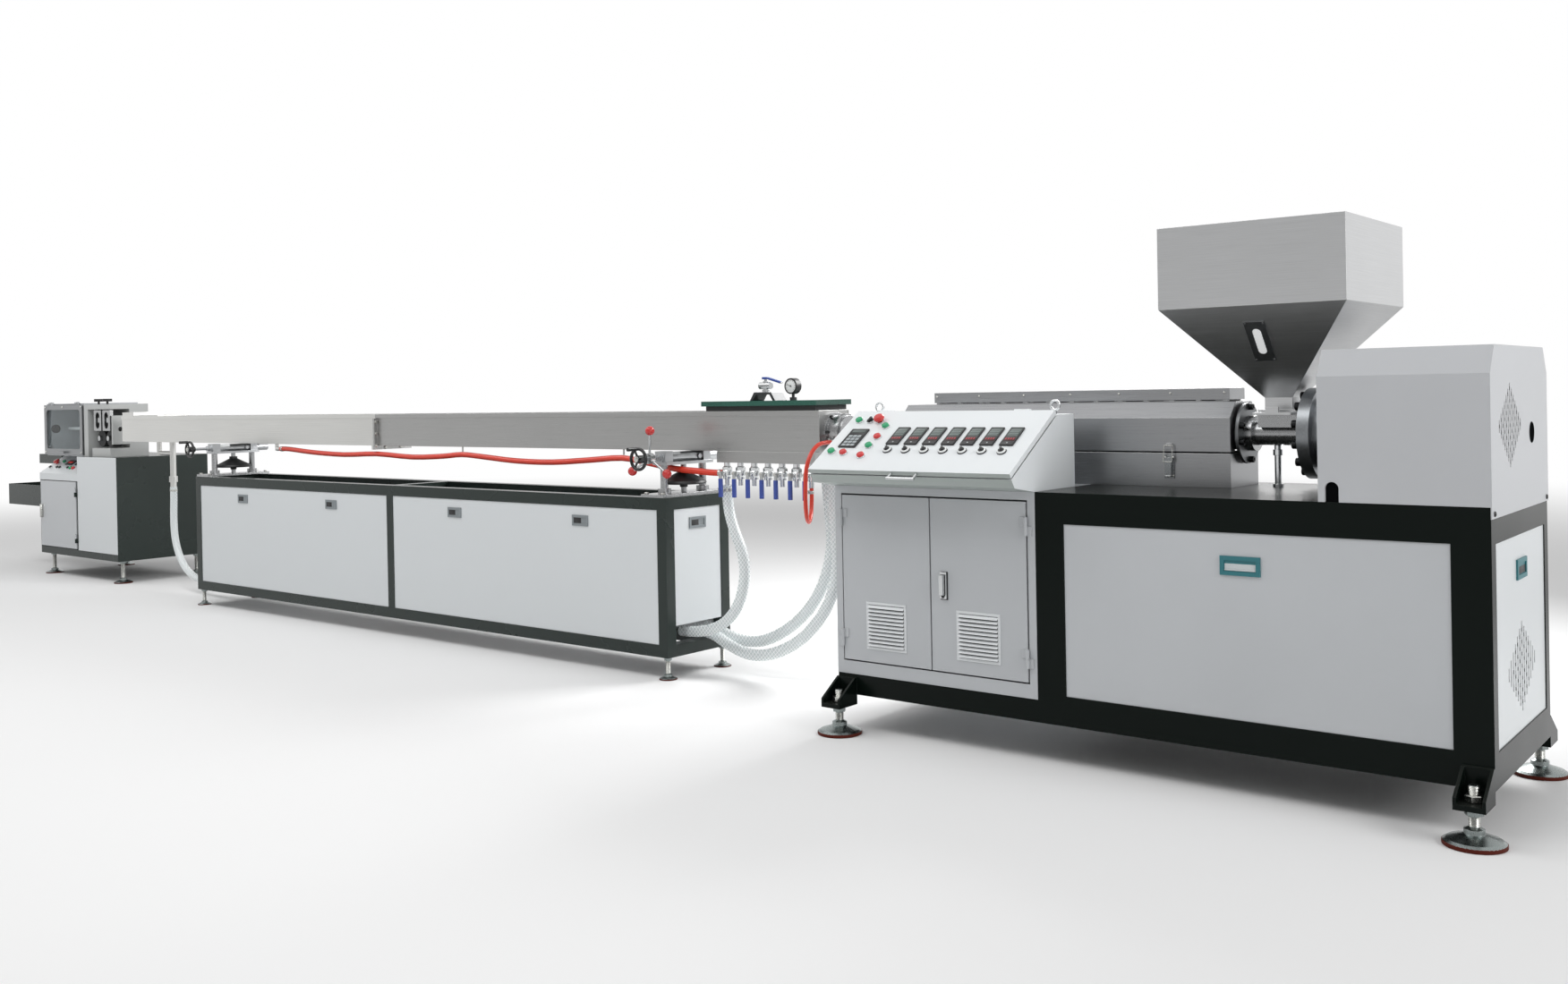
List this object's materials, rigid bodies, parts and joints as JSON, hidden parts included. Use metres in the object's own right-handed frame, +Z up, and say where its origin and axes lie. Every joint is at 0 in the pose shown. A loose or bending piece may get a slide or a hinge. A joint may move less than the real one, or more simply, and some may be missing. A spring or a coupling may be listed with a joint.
{
  "type": "bead extrusion line",
  "caption": "Plastic bead extrusion line: single-screw extruder with hopper and control console, water trough on a panelled stand, and a puller with cutter, on levelling feet.",
  "frame": {"origin": "centre of the line's outline on the floor", "axes": "+X along the line towards the extruder's drive end, -Y the operator side with doors and console, +Z up"},
  "size_m": [10.216, 1.178, 1.63],
  "materials": {
    "dark_paint": "satin dark green paint",
    "light_paint": "satin light grey paint",
    "teal_plastic": "satin",
    "dark_steel": "machined, darkened",
    "machined_steel": "turned and milled",
    "stainless": "brushed stainless sheet",
    "chrome": "bright plated",
    "white_paint": "satin near-white paint",
    "black_plastic": "satin",
    "zinc": "zinc plated",
    "green_grey_paint": "satin green-grey paint",
    "pale_paint": "satin pale grey paint",
    "red_plastic": "gloss",
    "black_rubber": "matt",
    "green_glass": "clear plate glass",
    "blue_plastic": "dipped sleeve",
    "clear_sheet": "clear sheet",
    "clear_hose": "clear flexible hose",
    "red_hose_rubber": "smooth"
  },
  "bodies": {
    "line_frame": {"extruder_base": "dark_paint", "side_panels": "light_paint", "flush_pulls": "teal_plastic", "gearbox_cover": "light_paint", "bearing_flange": "dark_steel", "feed_throat": "machined_steel", "slide_gate": "stainless", "hopper": "stainless", "hopper_window": "dark_steel", "barrel": "dark_steel", "die_head": "machined_steel", "cooling_pipe": "chrome", "heater_cover_lower": "stainless", "cover_latch": "chrome", "control_cabinet": "light_paint", "console_housing": "white_paint", "lifting_eyes": "chrome", "levelling_feet": "zinc", "stand_frame": "green_grey_paint", "support_posts": "machined_steel", "lift_wheels": "black_plastic", "support_heads": "machined_steel", "clamp_lever": "red_plastic", "trough_left": "stainless", "trough_right": "stainless", "trough_end_plate": "machined_steel", "lid_gasket": "black_rubber", "lid_glass": "green_glass", "vacuum_fittings": "machined_steel", "water_manifold": "stainless", "ball_valves": "machined_steel", "valve_levers": "blue_plastic", "cutter_cabinet": "green_grey_paint", "cutter_controls": "black_plastic", "discharge_chute": "green_grey_paint", "cutter_housing": "light_paint", "cutter_shaft": "machined_steel", "puller_housing": "pale_paint", "puller_slides": "pale_paint", "pull_rollers": "dark_steel", "star_knobs": "black_plastic", "drain_hose": "clear_hose", "overflow_hose": "clear_hose", "return_hose_outer": "clear_hose", "return_hose_inner": "clear_hose", "red_hose": "red_hose_rubber", "red_link_hose": "red_hose_rubber"},
    "cabinet_door_left": {"cabinet_door_left": "light_paint"},
    "cabinet_door_right": {"cabinet_door_right": "light_paint", "door_lock": "chrome"},
    "console_lid": {"console_lid": "white_paint", "console_handle": "chrome", "console_instruments": "black_plastic"},
    "heater_cover_upper": {"heater_cover_upper": "stainless", "ridge_vent_cap": "stainless"},
    "cutter_door": {"cutter_door": "light_paint"},
    "cutter_guard": {"cutter_guard": "machined_steel", "guard_window": "clear_sheet"},
    "handwheel_left": {"handwheel_left": "black_plastic"},
    "handwheel_right": {"handwheel_right": "black_plastic"}
  },
  "joints": [
    {"name": "cabinet_door_left_hinge", "type": "hinge", "parent": "line_frame", "child": "cabinet_door_left", "pos_m": [3.0605, -0.42697, 0.54], "axis": [0, 0, -1], "range_deg": [0, 110]},
    {"name": "cabinet_door_right_hinge", "type": "hinge", "parent": "line_frame", "child": "cabinet_door_right", "pos_m": [3.7695, -0.42697, 0.54], "axis": [0, 0, 1], "range_deg": [0, 110]},
    {"name": "console_lid_hinge", "type": "hinge", "parent": "line_frame", "child": "console_lid", "pos_m": [3.412, -0.26591, 1.08059], "axis": [-1, 0, 0], "range_deg": [0, 60]},
    {"name": "heater_cover_hinge", "type": "hinge", "parent": "line_frame", "child": "heater_cover_upper", "pos_m": [3.656, 0.20033, 0.94], "axis": [-1, 0, 0], "range_deg": [0, 95]},
    {"name": "cutter_door_hinge", "type": "hinge", "parent": "line_frame", "child": "cutter_door", "pos_m": [-3.6495, -0.03797, 0.43], "axis": [0, 0, 1], "range_deg": [0, 110]},
    {"name": "cutter_guard_hinge", "type": "hinge", "parent": "line_frame", "child": "cutter_guard", "pos_m": [-3.908, 0.01503, 1.179], "axis": [-1, 0, 0], "range_deg": [0, 100]},
    {"name": "handwheel_left_turn", "type": "hinge", "parent": "line_frame", "child": "handwheel_left", "pos_m": [-1.685, -0.25347, 0.897], "axis": [0, 1, 0], "continuous": true},
    {"name": "handwheel_right_turn", "type": "hinge", "parent": "line_frame", "child": "handwheel_right", "pos_m": [1.917, -0.25347, 0.897], "axis": [0, 1, 0], "continuous": true}
  ]
}
